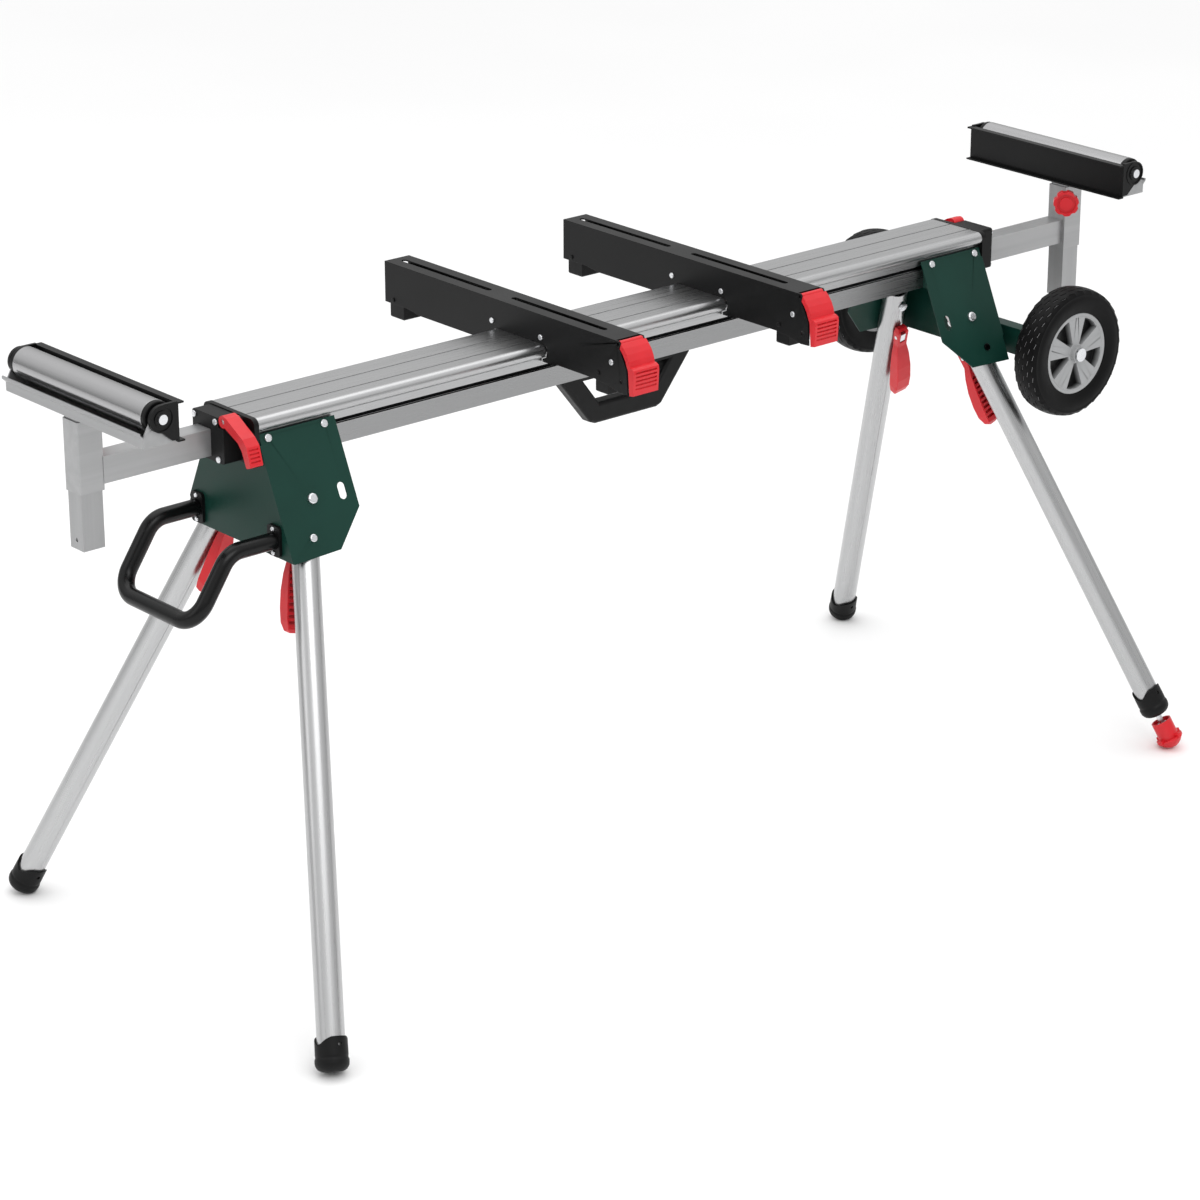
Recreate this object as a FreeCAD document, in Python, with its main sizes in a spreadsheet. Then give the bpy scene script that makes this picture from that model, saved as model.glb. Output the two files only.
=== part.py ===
import FreeCAD, Part
import math
import os
import re

import Sketcher

# Folding mobile saw stand. Millimetres, +X along the beam, -Y the operator's side, +Z up.
# The origin is on the floor under the middle of the beam. Heights are set out from the beam,
# and the whole is then raised by "lift", so that the feet stand on the floor.
# The right end is modelled once; the left end is the same set of parts turned half a turn about Z.

SIZES = {
    # beam
    "beam_length": 1450, "beam_width": 121, "beam_top": 834, "beam_bottom": 765, "bullnose": 21,
    "shoulder_width": 100, "shoulder_bottom": 800, "slot_width": 95, "rail_top": 795, "rail_width": 106,
    "chamber_top": 812.5, "chamber_bottom": 768, "chamber_width": 89, "web": 4, "skin": 3.2,
    "groove_width": 2.4, "groove_depth": 1, "groove_rear": 12, "groove_front": -29.4,
    # clamp block at the end of the beam, with the cam lever's shoulder bolt
    "cap_thick": 8, "block_depth": 37, "block_front": -47, "block_rear": 27, "block_top": 833,
    "block_low": 766,
    "cam_y": 24.5, "cam_z": 829, "cam_bolt": 4, "cam_knuckle": 9, "cam_width": 22,
    # leg housing: a folded sheet with two sloping side plates
    "sheet": 2.5, "slope": 24.27, "screw_hole": 3.3, "plate_top_y": 44.1, "plate_inner": 590,
    "plate_outer": 721.5,
    "plate_upper": 26.3, "plate_chamfer": 160.2, "plate_lower": 214, "plate_corner": 640, "plate_foot": 638,
    "screw_drop": 34.3, "screw_outer": 709, "screw_inner": 611, "lock_x": 681, "lock_drop": 186.4,
    "oblong_x": 611.5, "oblong_drop": 132.5, "oblong_width": 13, "oblong_height": 25,
    # legs
    "pivot_x": 665, "pivot_drop": 132.4, "leg_inset": 24.4, "splay": 15.22, "leg_radius": 20, "leg_wall": 2,
    "leg_end": 801.4, "lift": 8.7, "leg_overrun": 25, "pivot_bolt": 5, "running_fit": 0.08,
    "boot_radius": 24.5, "boot_round": 13,
    "boot_height": 37, "boot_lobe": 50, "boot_floor": 5, "short_leg": 58, "lever_pin": 3,
    "lever_drop": 62, "lever_offset": 28,
    "lever_width": 29,
    # adjusting foot
    "dome": 22, "dome_drop": 784.3, "flange_radius": 22.5, "cup_radius": 17, "stud_radius": 5,
    "cup_drop": 756.5, "cup_length": 35,
    # extension arm, sleeve and post
    "arm_width": 32, "arm_height": 39.5, "arm_low": 772, "arm_y": -20.5, "arm_inner_end": -400,
    "arm_wall": 2,
    "sleeve_x": 941, "sleeve_long": 40, "sleeve_wide": 37, "sleeve_y": -24, "sleeve_low": 763,
    "sleeve_top": 868,
    "post_gap": 0.4, "post_low": 679, "knob_height": 848, "knob_radius": 21, "boss_radius": 14,
    "knob_stud": 4, "knob_reach": 16,
    # roller head
    "roller_x": 962, "roller_z": 915, "roller_radius": 23, "roller_half": 155, "roller_axle": 5,
    "tray_z": 877, "tray_sheet": 2.5,
    "tray_outer": 990, "tray_inner": 937, "lip_top": 900, "ear_y": 164.5, "fence_low": 877,
    "fence_top": 933,
    "fence_lip": 9, "head_half": 167, "cheek": 19.5,
    # saw brackets
    "saw_left": -201.5, "saw_right": 160.5, "saw_width": 48.3, "saw_rear": 326, "saw_top": 879,
    "saw_low": 809.5, "saw_sheet": 2.5, "slot_wide": 9, "slot_a": 311, "slot_b": 97, "slot_c": 45.5,
    "slot_d": -168.5, "latch_y": -221.5, "latch_z": 874, "latch_pin": 2.5, "latch_knuckle": 5,
    # handles
    "pull_radius": 12.5, "pull_y": 92.5, "pull_z": 664, "pull_bend_x": -806, "pull_end_x": -869,
    "pull_low": 571,
    "pull_corner": 36, "saddle": 5, "saddle_wide": 28, "saddle_tall": 46, "carry_thick": 26,
    "carry_low": 669,
    # wheels
    "axle_x": 760, "axle_z": 666, "axle_radius": 6, "wheel_y": 224, "tyre_radius": 106, "tyre_width": 50,
    "rim_radius": 67, "rim_face": 18.5, "hub_radius": 13, "bracket_half": 188,
}

doc = FreeCAD.newDocument("saw_stand")
sheet = doc.addObject("Spreadsheet::Sheet", "Sizes")
for row, (alias, amount) in enumerate(SIZES.items(), 1):
    sheet.set(f"A{row}", alias)
    sheet.set(f"B{row}", str(amount))
    sheet.setAlias(f"B{row}", alias)
doc.recompute()

HALF_TURN = FreeCAD.Placement(FreeCAD.Vector(), FreeCAD.Rotation(FreeCAD.Vector(0, 0, 1), 180))
UNTURNED = FreeCAD.Placement()
ENDS = {"right": UNTURNED, "left": HALF_TURN}
nodes = []


# ---------------------------------------------------------------- helpers

def bound(expression):
    """The expression with each size's alias written the way the document refers to it."""
    return re.sub(r"[a-z][a-z_]*", lambda m: "Sizes." + m[0] if m[0] in SIZES else m[0], str(expression))


def size(expression):
    """The value of an expression of the sheet's aliases."""
    return float(sheet.evalExpression(bound(expression)))


def vector(x, y, z):
    return FreeCAD.Vector(size(x), size(y), size(z))


def bind(thing, name, expression):
    thing.setExpression(name, bound(expression))


def keep(thing, label, placement=UNTURNED):
    """Marks an object as a sub-part: its label names the file that it is written to."""
    thing.Label = label
    thing.Placement = FreeCAD.Placement(vector(0, 0, "lift"), FreeCAD.Rotation()) * placement
    nodes.append(thing)
    return thing


def new_body(name):
    return doc.addObject("PartDesign::Body", name)


def new_sketch(body, role, level=0):
    """A sketch on one of the body's own origin planes, raised along the plane's normal."""
    sketch = body.newObject("Sketcher::SketchObject", "Sketch")
    plane = [part for part in body.Origin.OriginFeatures if part.Role == role][0]
    sketch.AttachmentSupport = [(plane, "")]
    sketch.MapMode = "FlatFace"
    bind(sketch, "AttachmentOffset.Base.z", level)
    return sketch


def place_point(sketch, geometry, position, x, y):
    for kind, expression in (("DistanceX", x), ("DistanceY", y)):
        number = sketch.addConstraint(
            Sketcher.Constraint(kind, -1, 1, geometry, position, size(expression)))
        bind(sketch, f"Constraints[{number}]", expression)


def add_polygon(sketch, corners):
    """A closed outline, each corner held by two bound distances."""
    points = [vector(x, y, 0) for x, y in corners]
    first = sketch.GeometryCount
    for start, end in zip(points, points[1:] + points[:1]):
        sketch.addGeometry(Part.LineSegment(start, end), False)
    count = len(points)
    for index in range(count):
        sketch.addConstraint(
            Sketcher.Constraint("Coincident", first + index, 2, first + (index + 1) % count, 1))
    for index, (x, y) in enumerate(corners):
        place_point(sketch, first + index, 1, x, y)


def add_rectangle(sketch, left, right, low, high):
    add_polygon(sketch, [(left, low), (right, low), (right, high), (left, high)])


def add_circle(sketch, x, y, radius):
    circle = sketch.addGeometry(Part.Circle(vector(x, y, 0), FreeCAD.Vector(0, 0, 1), size(radius)), False)
    place_point(sketch, circle, 3, x, y)
    number = sketch.addConstraint(Sketcher.Constraint("Radius", circle, size(radius)))
    bind(sketch, f"Constraints[{number}]", radius)


def pad(body, sketch, length, both_ways=False, backwards=False):
    feature = body.newObject("PartDesign::Pad", "Pad")
    feature.Profile = sketch
    feature.SideType = "Symmetric" if both_ways else "One side"
    feature.Reversed = backwards
    bind(feature, "Length", length)
    doc.recompute()
    return feature


def pocket(body, sketch, length, both_ways=False, backwards=False):
    """Cuts a pocket, and stops the build if it removed nothing."""
    before = body.Shape.Volume
    feature = body.newObject("PartDesign::Pocket", "Pocket")
    feature.Profile = sketch
    feature.SideType = "Symmetric" if both_ways else "One side"
    feature.Reversed = backwards
    bind(feature, "Length", length)
    doc.recompute()
    if body.Shape.Volume > before - 0.1:
        raise ValueError("a pocket in " + body.Name + " cut nothing")
    return feature


def revolve(body, sketch, axis_role):
    feature = body.newObject("PartDesign::Revolution", "Revolution")
    feature.Profile = sketch
    axis = [part for part in body.Origin.OriginFeatures if part.Role == axis_role][0]
    feature.ReferenceAxis = (axis, [""])
    feature.Angle = 360
    doc.recompute()
    return feature


def round_edges(body, radius, wanted):
    """Fillets the edges of the body's tip for which wanted(edge) is true."""
    tip = body.Tip
    names = [f"Edge{number}" for number, edge in enumerate(tip.Shape.Edges, 1) if wanted(edge)]
    feature = body.newObject("PartDesign::Fillet", "Fillet")
    feature.Base = (tip, names)
    bind(feature, "Radius", radius)
    doc.recompute()
    return feature


def runs_along(edge, axis):
    """Whether an edge is straight and parallel to the axis X, Y or Z."""
    if not isinstance(edge.Curve, Part.Line):
        return False
    return abs(getattr(edge.Curve.Direction, axis.lower())) > 0.999


def block(x, y, z):
    """A Part::Box between pairs of bounds along X, Y and Z."""
    box = doc.addObject("Part::Box", "Block")
    for side, axis, (low, high) in zip(("Length", "Width", "Height"), "xyz", (x, y, z)):
        bind(box, side, f"({high}) - ({low})")
        bind(box, "Placement.Base." + axis, low)
    return box


def rod(radius, length, base, direction):
    """A Part::Cylinder from a base point along a direction."""
    cylinder = doc.addObject("Part::Cylinder", "Rod")
    bind(cylinder, "Radius", radius)
    bind(cylinder, "Height", length)
    turn = FreeCAD.Rotation(FreeCAD.Vector(0, 0, 1), FreeCAD.Vector(*direction))
    cylinder.Placement = FreeCAD.Placement(vector(*base), turn)
    for axis, expression in zip("xyz", base):
        bind(cylinder, "Placement.Base." + axis, expression)
    return cylinder


def cut(base, *tools):
    for tool in tools:
        result = doc.addObject("Part::Cut", "Cut")
        result.Base = base
        result.Tool = tool
        base = result
    doc.recompute()
    return base


def fuse(*shapes):
    result = doc.addObject("Part::MultiFuse", "Fuse")
    result.Shapes = list(shapes)
    doc.recompute()
    return result


def group(label, shapes, placement=UNTURNED):
    """One node that holds several separate solids."""
    feature = doc.addObject("Part::Feature", "Group")
    feature.Shape = Part.makeCompound(shapes)
    return keep(feature, label, placement)


def screw(point, direction, head_radius, head_height, shank_radius=0, shank_length=0):
    """A domed screw: its head stands on the point, and its shank runs the other way."""
    out = FreeCAD.Vector(*direction).normalize()
    head = Part.makeCylinder(head_radius, head_height, point, out)
    rim = [edge for edge in head.Edges
           if isinstance(edge.Curve, Part.Circle) and (edge.Curve.Center - point).Length > head_height / 2]
    head = head.makeFillet(0.6 * head_height, rim)
    if not shank_length:
        return head
    shank = Part.makeCylinder(shank_radius, shank_length, point, -out)
    return head.fuse(shank).removeSplitter()


# ---------------------------------------------------------------- beam and its ends

def make_beam():
    body = new_body("Beam")
    profile = new_sketch(body, "YZ_Plane")
    right_half = [
        ("beam_width / 2", "beam_top"), ("beam_width / 2", "beam_top - bullnose"),
        ("shoulder_width / 2", "beam_top - bullnose"), ("shoulder_width / 2", "shoulder_bottom"),
        ("slot_width / 2", "shoulder_bottom"), ("slot_width / 2", "rail_top"),
        ("rail_width / 2", "rail_top"), ("rail_width / 2", "beam_bottom"),
    ]
    left_half = [("-" + y, z) for y, z in reversed(right_half)]
    add_polygon(profile, right_half + left_half)
    pad(body, profile, "beam_length", both_ways=True)
    edge_y = size("beam_width / 2")
    round_edges(body, "bullnose / 2 - 0.05",
                lambda edge: runs_along(edge, "X") and abs(abs(edge.CenterOfMass.y) - edge_y) < 0.01)
    chambers = new_sketch(body, "YZ_Plane")
    for low, high, width in (("chamber_bottom", "chamber_top", "chamber_width"),
                             ("chamber_top + skin", "beam_top - skin", "shoulder_width")):
        add_rectangle(chambers, "web / 2", width + " / 2", low, high)
        add_rectangle(chambers, "-" + width + " / 2", "-web / 2", low, high)
    pocket(body, chambers, "beam_length + 2", both_ways=True)
    grooves = new_sketch(body, "YZ_Plane")
    for middle in ("groove_rear", "groove_front"):
        add_rectangle(grooves, middle + " - groove_width / 2", middle + " + groove_width / 2",
                      "beam_top - groove_depth", "beam_top + 1")
    pocket(body, grooves, "beam_length + 2", both_ways=True)
    keep(body, "main_beam")


def make_clamp_block(end, turn):
    """The cap on the end of the beam and the block that guides and clamps the arm, one casting."""
    body = new_body("ClampBlock")
    cap = new_sketch(body, "YZ_Plane", "beam_length / 2")
    add_rectangle(cap, "-beam_width / 2 - 0.5", "beam_width / 2 + 0.5", "beam_bottom", "beam_top + 0.5")
    pad(body, cap, "cap_thick")
    middle = size("(beam_top + beam_bottom) / 2")
    round_edges(body, "bullnose / 2", lambda edge: runs_along(edge, "X") and edge.CenterOfMass.z > middle)
    guide = new_sketch(body, "YZ_Plane", "beam_length / 2")
    add_rectangle(guide, "block_front", "block_rear", "block_low", "block_top")
    pad(body, guide, "block_depth")
    reach = size("beam_length / 2 + cap_thick")
    round_edges(body, 4, lambda edge: runs_along(edge, "X") and edge.CenterOfMass.x > reach)
    opening = new_sketch(body, "YZ_Plane", "beam_length / 2 + block_depth + 1")
    add_rectangle(opening, "arm_y - arm_width / 2 - 0.5", "arm_y + arm_width / 2 + 0.5",
                  "arm_low - 0.5", "arm_low + arm_height + 0.5")
    pocket(body, opening, "block_depth + 2")
    notch = new_sketch(body, "YZ_Plane", "beam_length / 2 + block_depth + 1")
    add_rectangle(notch, "cam_y - cam_knuckle - 1", "block_rear + 2",
                  "cam_z - cam_knuckle - 1.5", "block_top + 2")
    pocket(body, notch, "cam_width + 3")
    bolt_hole = new_sketch(body, "YZ_Plane", "beam_length / 2 + block_depth + 1")
    add_circle(bolt_hole, "cam_y", "cam_z", "cam_bolt + 0.2")
    pocket(body, bolt_hole, "block_depth - 1")
    keep(body, end + "_clamp_block", turn)


def make_cam_lever(end, turn):
    """The lever that clamps the arm: a knuckle on its bolt, an arm that reaches out, and a ribbed grip."""
    body = new_body("CamLever")
    outer = "beam_length / 2 + block_depth - 0.5"
    side = new_sketch(body, "YZ_Plane", outer)
    add_polygon(side, [
        ("cam_y", "cam_z + cam_knuckle"), ("cam_y + 9", "cam_z + 7"), ("cam_y + 46", "cam_z - 14"),
        ("cam_y + 56", "cam_z - 24"), ("cam_y + 64", "cam_z - 52"), ("cam_y + 54", "cam_z - 55"),
        ("cam_y + 44", "cam_z - 32"), ("cam_y + 35", "cam_z - 22"), ("cam_y + 5", "cam_z - 8"),
        ("cam_y", "cam_z - cam_knuckle + 1"),
    ])
    pad(body, side, "cam_width", backwards=True)
    knuckle = new_sketch(body, "YZ_Plane", outer)
    add_circle(knuckle, "cam_y", "cam_z", "cam_knuckle")
    pad(body, knuckle, "cam_width", backwards=True)
    far = size("cam_y + 20")
    round_edges(body, 2.5, lambda edge: runs_along(edge, "X") and edge.CenterOfMass.y > far)
    bore = new_sketch(body, "YZ_Plane", outer)
    add_circle(bore, "cam_y", "cam_z", "cam_bolt + running_fit")
    pocket(body, bore, "cam_width + 1")
    ribs = new_sketch(body, "YZ_Plane", outer + " - 3")
    for number in range(4):
        low = f"cam_z - 46 + 5.5 * {number}"
        add_rectangle(ribs, f"cam_y + 60.2 - 1.57 * {number}", "cam_y + 70", low, low + " + 2.4")
    pocket(body, ribs, "cam_width - 6")
    keep(body, end + "_clamp_lever", turn)


# ---------------------------------------------------------------- leg housings

def slope_frame(front):
    """The frame of a side plate: X along the beam, Z up the slope, the plate's outer face at Y = 0."""
    side = -1 if front else 1
    turn = FreeCAD.Rotation(FreeCAD.Vector(1, 0, 0), side * size("slope"))
    return FreeCAD.Placement(vector(0, f"{side} * plate_top_y", "beam_top"), turn)


def side_plate(front):
    """A sloping plate with the holes for the pivot, the lock rivet and two screws, and the angle slot."""
    body = new_body("SidePlate")
    outline = new_sketch(body, "XZ_Plane")
    add_polygon(outline, [
        ("plate_inner", "-plate_upper"), ("plate_outer + 1", "-plate_upper"),
        ("plate_outer + 1", "-plate_lower - 1.6"), ("plate_corner", "-plate_lower + 1.6"),
        ("plate_inner", "-plate_chamfer"),
    ])
    for x, drop in (("screw_outer", "screw_drop"), ("screw_inner", "screw_drop"), ("lock_x", "lock_drop")):
        add_circle(outline, x, "-" + drop, "screw_hole")
    add_circle(outline, "pivot_x", "-pivot_drop", "pivot_bolt")
    pad(body, outline, "sheet", backwards=front)
    slot = new_sketch(body, "XZ_Plane")
    half_width = "oblong_width / 2"
    straight = "oblong_height / 2 - oblong_width / 2"
    add_rectangle(slot, "oblong_x - " + half_width, "oblong_x + " + half_width,
                  f"-oblong_drop - ({straight})", f"-oblong_drop + ({straight})")
    pocket(body, slot, "sheet * 4", both_ways=True)
    for way in ("+", "-"):
        slot_end = new_sketch(body, "XZ_Plane")
        add_circle(slot_end, "oblong_x", f"-oblong_drop {way} ({straight})", half_width)
        pocket(body, slot_end, "sheet * 4", both_ways=True)
    body.Placement = slope_frame(front)
    return body


def spacer(front):
    """The wedge that fills the gap between the rail and a side plate."""
    side = "-" if front else ""
    body = new_body("Spacer")
    section = new_sketch(body, "YZ_Plane", "plate_inner + 8")
    gap = "plate_top_y + (beam_top - {z}) * tan(slope) - sheet / cos(slope) + 0.4"
    add_polygon(section, [
        (side + "rail_width / 2", "rail_top - 1"),
        (f"{side}({gap.format(z='(rail_top - 1)')})", "rail_top - 1"),
        (f"{side}({gap.format(z='(beam_bottom + 1)')})", "beam_bottom + 1"),
        (side + "rail_width / 2", "beam_bottom + 1"),
    ])
    pad(body, section, "plate_outer - plate_inner - 12")
    return body


def make_housing(end, turn):
    """End plate, two sloping side plates and their spacers, welded into one piece."""
    slope_y = "plate_top_y + (beam_top - {z}) * tan(slope)"
    edge = {z: "(" + slope_y.format(z=z) + ")" for z in ("rail_top", "675", "plate_foot")}
    plate = new_body("EndPlate")
    outline = new_sketch(plate, "YZ_Plane", "plate_outer + 1")
    add_polygon(outline, [
        ("rail_width / 2", "beam_bottom"), ("rail_width / 2", "rail_top"), (edge["rail_top"], "rail_top"),
        (edge["plate_foot"], "plate_foot"), ("-100", "plate_foot"), ("-103", "plate_foot + 9"),
        ("-" + edge["675"], "675"), ("-" + edge["rail_top"], "rail_top"), ("-rail_width / 2", "rail_top"),
        ("-rail_width / 2", "beam_bottom"),
    ])
    pad(plate, outline, "sheet")
    sides = [side_plate(True), side_plate(False), spacer(True), spacer(False)]
    keep(fuse(plate, *sides), end + "_housing", turn)


# ---------------------------------------------------------------- legs

def leg_frame(end, front):
    """The frame of a leg: origin on the fold pivot, Y outwards from the side plate, Z up the leg."""
    side = -1 if front else 1
    pivot = FreeCAD.Placement(vector("pivot_x", f"-{side} * leg_inset", "-pivot_drop"), FreeCAD.Rotation())
    splay = FreeCAD.Placement(FreeCAD.Vector(), FreeCAD.Rotation(FreeCAD.Vector(0, 1, 0), -size("splay")))
    frame = slope_frame(front) * pivot * splay
    return frame * HALF_TURN if front else frame


def make_leg_tube(label, placement, shorter):
    body = new_body("LegTube")
    ring = new_sketch(body, "XY_Plane", "leg_overrun")
    add_circle(ring, 0, 0, "leg_radius")
    add_circle(ring, 0, 0, "leg_radius - leg_wall")
    pad(body, ring, f"leg_overrun + leg_end - boot_floor - {shorter}", backwards=True)
    bolt_hole = new_sketch(body, "XZ_Plane")
    add_circle(bolt_hole, 0, 0, "pivot_bolt + running_fit")
    pocket(body, bolt_hole, "leg_radius * 2 + 4", both_ways=True)
    keep(body, label, placement)


def make_boot(label, placement, shorter):
    """A rubber boot: rounded tread, waist, and a rim that rises to a screw hole on two sides."""
    bottom = f"-(leg_end - {shorter})"
    body = new_body("Boot")
    profile = new_sketch(body, "XZ_Plane")
    tread = [(f"boot_radius - boot_round + boot_round * sin({angle})",
              f"{bottom} + boot_round - boot_round * cos({angle})") for angle in range(0, 91, 15)]
    waist = [("boot_radius", f"{bottom} + 17"), ("boot_radius - 1.4", f"{bottom} + 20.5"),
             ("boot_radius - 0.9", f"{bottom} + 24"), ("boot_radius - 1.2", f"{bottom} + boot_lobe")]
    inside = [("leg_radius", f"{bottom} + boot_lobe"), ("leg_radius", f"{bottom} + boot_floor"),
              ("stud_radius + running_fit", f"{bottom} + boot_floor"), ("stud_radius + running_fit", bottom)]
    add_polygon(profile, tread + waist + inside)
    revolve(body, profile, "Z_Axis")
    rim = new_sketch(body, "YZ_Plane")
    across = [-26, -20, -14, -8, 0, 8, 14, 20, 26]
    curve = [(str(y), f"{bottom} + boot_height + (boot_lobe - boot_height) * (1 - cos({y} * 7.5)) / 2")
             for y in across]
    add_polygon(rim, curve + [("26", f"{bottom} + boot_lobe + 5"), ("-26", f"{bottom} + boot_lobe + 5")])
    pocket(body, rim, "boot_radius * 3", both_ways=True)
    hole = new_sketch(body, "XZ_Plane")
    add_circle(hole, 0, f"{bottom} + boot_lobe - 12", 2.8)
    pocket(body, hole, "boot_radius * 3", both_ways=True)
    keep(body, label, placement)


def make_release_lever(label, placement):
    """The sprung lever on the inner side of a leg; grooves face the leg."""
    body = new_body("ReleaseLever")
    side = new_sketch(body, "YZ_Plane")
    add_polygon(side, [(f"-{depth}", f"-{drop}") for depth, drop in (
        (21.2, 44), (29, 43), (34, 50), (35.5, 80), (42, 98), (48.5, 120), (53, 145), (53, 166), (49, 178),
        (41, 183), (36.2, 178), (21.4, 62))])
    pad(body, side, "lever_width", both_ways=True)
    outline = new_sketch(body, "XZ_Plane", 70)
    half = [(8, 42.5), (11, 52), (9.5, 78), (12.5, 96), (14, 120), (14, 165), (11.5, 179), (6, 183.5)]
    corners = [(str(x), f"-{drop}") for x, drop in half]
    corners += [(f"-{x}", f"-{drop}") for x, drop in reversed(half)]
    add_polygon(outline, corners)
    add_rectangle(outline, -40, 40, -230, -30)
    pocket(body, outline, 80)
    grooves = new_sketch(body, "YZ_Plane")
    for number in range(9):
        drop = 96 + 8.8 * number
        face = 21.4 + (drop - 62) * 0.1259
        add_rectangle(grooves, f"-{face + 7}", f"-{face - 3}", f"-{drop + 4.4}", f"-{drop}")
    pocket(body, grooves, "lever_width - 8", both_ways=True)
    recess = new_sketch(body, "YZ_Plane")
    add_rectangle(recess, "-lever_offset - 8", -18, "-lever_drop - 9", "-lever_drop + 14")
    pocket(body, recess, 10.8, both_ways=True)
    bore = new_sketch(body, "YZ_Plane")
    add_circle(bore, "-lever_offset", "-lever_drop", "lever_pin + running_fit")
    pocket(body, bore, "lever_width + 4", both_ways=True)
    keep(body, label, placement)


def make_lever_pin(label, placement):
    """A lug on the leg tube with the cross pin that the release lever turns on."""
    lug = block((-5, 5), ("-lever_offset - 6", "-leg_radius + 3"), ("-lever_drop - 7", "-lever_drop + 7"))
    tube = rod("leg_radius", 40, (0, 0, "-lever_drop - 20"), (0, 0, 1))
    pin = rod("lever_pin", 21, (-10.5, "-lever_offset", "-lever_drop"), (1, 0, 0))
    keep(fuse(cut(lug, tube), pin), label, placement)


def make_legs():
    for end, turn in ENDS.items():
        for front in (True, False):
            name = f"{end}_{'front' if front else 'rear'}_leg"
            # The left end is turned, so its front leg is the rear leg of the end's own frame.
            placement = turn * leg_frame(end, front if end == "right" else not front)
            shorter = "short_leg" if name == "right_front_leg" else "0"
            make_leg_tube(name + "_tube", placement, shorter)
            make_boot(name + "_foot", placement, shorter)
            make_release_lever(name + "_lever", placement)
            make_lever_pin(name + "_lever_pin", placement)


def make_adjuster():
    """The threaded stud under the front right leg and the foot that screws along it."""
    placement = leg_frame("right", True)
    shank = rod("stud_radius", 60, (0, 0, "-cup_drop - 28"), (0, 0, 1))
    collar = rod("stud_radius + 3", 4, (0, 0, "-cup_drop - 8"), (0, 0, 1))
    keep(fuse(shank, collar), "adjuster_stud", placement)
    base = "-cup_drop - cup_length"
    cup = rod("cup_radius", "cup_length", (0, 0, base), (0, 0, 1))
    hollow = rod("cup_radius - 2.5", 20, (0, 0, "-cup_drop - 14"), (0, 0, 1))
    flange = rod("flange_radius", 3.5, (0, 0, base), (0, 0, 1))
    ball = doc.addObject("Part::Sphere", "Dome")
    bind(ball, "Radius", "dome")
    bind(ball, "Placement.Base.z", "-dome_drop")
    trim = rod("dome + 4", 30, (0, 0, base + " - 30"), (0, 0, 1))
    cap = doc.addObject("Part::Common", "Cap")
    cap.Base = ball
    cap.Tool = trim
    reach = ("-flange_radius - 2.5", "flange_radius + 2.5")
    height = (base + " + 0.5", base + " + 7")
    wings = [block(reach, (-4, 4), height), block((-4, 4), reach, height)]
    thread = rod("stud_radius + running_fit", 40, (0, 0, "-cup_drop - 29"), (0, 0, 1))
    keep(cut(fuse(cup, flange, cap, *wings), hollow, thread), "adjuster_foot", placement)


# ---------------------------------------------------------------- extension arms and roller heads

def make_arm(end, turn):
    """The sliding tube with the upright sleeve at its outer end."""
    body = new_body("Arm")
    tube = new_sketch(body, "YZ_Plane", "arm_inner_end")
    for inset in (0, "arm_wall"):
        add_rectangle(tube, f"arm_y - arm_width / 2 + {inset}", f"arm_y + arm_width / 2 - {inset}",
                      f"arm_low + {inset}", f"arm_low + arm_height - {inset}")
    pad(body, tube, "sleeve_x + 1 - arm_inner_end")
    sleeve = new_sketch(body, "XY_Plane", "sleeve_low")
    add_rectangle(sleeve, "sleeve_x", "sleeve_x + sleeve_long", "sleeve_y - sleeve_wide / 2",
                  "sleeve_y + sleeve_wide / 2")
    pad(body, sleeve, "sleeve_top - sleeve_low")
    round_edges(body, 2.5, lambda edge: runs_along(edge, "Z")
                and edge.CenterOfMass.x > size("sleeve_x + sleeve_long - 1"))
    channel = new_sketch(body, "XY_Plane", "sleeve_top + 1")
    add_rectangle(channel, "sleeve_x + arm_wall", "sleeve_x + sleeve_long - arm_wall",
                  "sleeve_y - sleeve_wide / 2 + arm_wall", "sleeve_y + sleeve_wide / 2 - arm_wall")
    pocket(body, channel, "sleeve_top - sleeve_low + 2")
    wall = ("sleeve_x - 2", "sleeve_y - sleeve_wide / 2 - 2", "knob_height")
    passage = rod("knob_stud + 0.4", 9, wall, (1, 1, 0))
    keep(cut(body, passage), end + "_arm", turn)


def make_height_knob(end, turn):
    """The scalloped knob on the corner of the sleeve that clamps the post."""
    body = new_body("Knob")
    grip = new_sketch(body, "XY_Plane", "knob_reach")
    add_circle(grip, 0, 0, "knob_radius")
    pad(body, grip, 14)
    scallops = new_sketch(body, "XY_Plane", "knob_reach + 20")
    for number in range(7):
        turned = 360 / 7 * number
        x, y = (f"(knob_radius + 4.4) * {turning}({turned})" for turning in ("cos", "sin"))
        add_circle(scallops, x, y, 6.5)
    pocket(body, scallops, 25)
    ring = new_sketch(body, "XY_Plane", "knob_reach + 15")
    add_circle(ring, 0, 0, "knob_radius - 5")
    add_circle(ring, 0, 0, "knob_radius - 10")
    pocket(body, ring, 4)
    for radius, start, length in (("boss_radius", 4, "knob_reach - 4"), ("knob_stud", -2, 8)):
        step = new_sketch(body, "XY_Plane", start)
        add_circle(step, 0, 0, radius)
        pad(body, step, length)
    corner = vector("sleeve_x", "sleeve_y - sleeve_wide / 2", "knob_height")
    out = FreeCAD.Rotation(FreeCAD.Vector(0, 0, 1), FreeCAD.Vector(-1, -1, 0))
    keep(body, end + "_height_knob", turn * FreeCAD.Placement(corner, out))


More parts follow.
